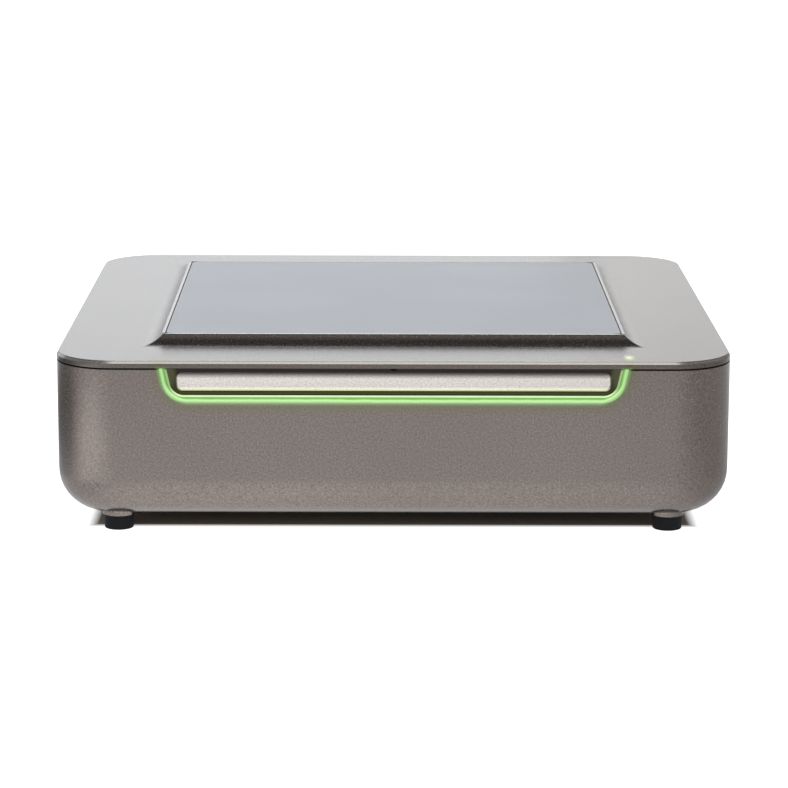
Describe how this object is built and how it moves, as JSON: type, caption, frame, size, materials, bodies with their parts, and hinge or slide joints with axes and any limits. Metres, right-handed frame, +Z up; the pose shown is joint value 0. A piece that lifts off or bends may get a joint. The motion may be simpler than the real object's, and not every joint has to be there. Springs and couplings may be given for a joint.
{
  "type": "audiometer",
  "caption": "Low rectangular table-top audiometer with rounded corners, raised top panel, lit front recess round a push bar, rear sockets and a rocker switch.",
  "frame": {"origin": "on the surface it stands on, under the middle of the housing", "axes": "+X to the right seen from the front, +Y to the back, +Z up"},
  "size_m": [0.285, 0.27, 0.0793],
  "materials": {
    "housing_paint": "warm grey metallic paint, fine speckle, satin",
    "cover_paint": "warm grey metallic paint, fine speckle, satin",
    "panel_sheet": "blue-grey satin sheet",
    "light_guide": "clear acrylic lit green from behind",
    "bezel": "black moulding with a bright front rim",
    "bar_metal": "satin anodised",
    "black_plastic": "moulded, matte",
    "steel": "ground",
    "spring_steel": "tempered strip",
    "board_green": "solder mask",
    "lamp_white": "lamp package",
    "status_lens": "clear light pipe, lit yellow-green",
    "screw_steel": "zinc plated",
    "tin_plate": "tin plated",
    "chip_black": "moulded package",
    "fin_aluminium": "black anodised",
    "film_block": "dipped film capacitor",
    "relay_white": "moulded",
    "ribbon": "flat cable",
    "rear_panel": "black satin",
    "switch_black": "moulded, satin",
    "brass": "plain",
    "foot_rubber": "black rubber",
    "socket_black": "moulded socket"
  },
  "bodies": {
    "housing": {"lower_housing": "housing_paint", "top_cover": "cover_paint", "top_panel": "panel_sheet", "light_guide": "light_guide", "recess_bezel": "bezel", "bar_sensor": "black_plastic", "led_board": "board_green", "strip_lamps": "lamp_white", "status_lamp": "black_plastic", "status_lens": "status_lens", "foot_front_left": "foot_rubber", "foot_front_right": "foot_rubber", "foot_rear_left": "foot_rubber", "foot_rear_right": "foot_rubber", "cover_screws": "screw_steel", "main_board": "board_green", "shield_can": "tin_plate", "processor": "chip_black", "heat_sink": "fin_aluminium", "isolated_supply": "black_plastic", "capacitors": "film_block", "relays": "relay_white", "converters": "chip_black", "ribbon_cable": "ribbon", "ribbon_header": "black_plastic", "rear_panel": "rear_panel", "audio_socket_1": "socket_black", "audio_socket_2": "socket_black", "audio_socket_3": "socket_black", "audio_socket_4": "socket_black", "audio_socket_5": "socket_black", "audio_socket_6": "socket_black", "usb_socket": "tin_plate", "power_inlet": "black_plastic", "switch_frame": "switch_black", "switch_pin": "steel", "switch_blades": "brass"},
    "push_bar": {"push_bar": "bar_metal", "bar_carrier": "black_plastic", "guide_pins": "steel", "bar_springs": "spring_steel"},
    "power_rocker": {"power_rocker": "switch_black"}
  },
  "joints": [
    {"name": "push_bar_slide", "type": "slide", "parent": "housing", "child": "push_bar", "axis": [0, 1, 0], "range_m": [0, 0.0015], "stiffness_N_per_m": 900, "springref_m": -0.002, "deforming": ["bar_springs"]},
    {"name": "power_rocker_hinge", "type": "hinge", "parent": "housing", "child": "power_rocker", "pos_m": [-0.075, 0.1292, 0.041], "axis": [-1, 0, 0], "range_deg": [0, 20]}
  ]
}
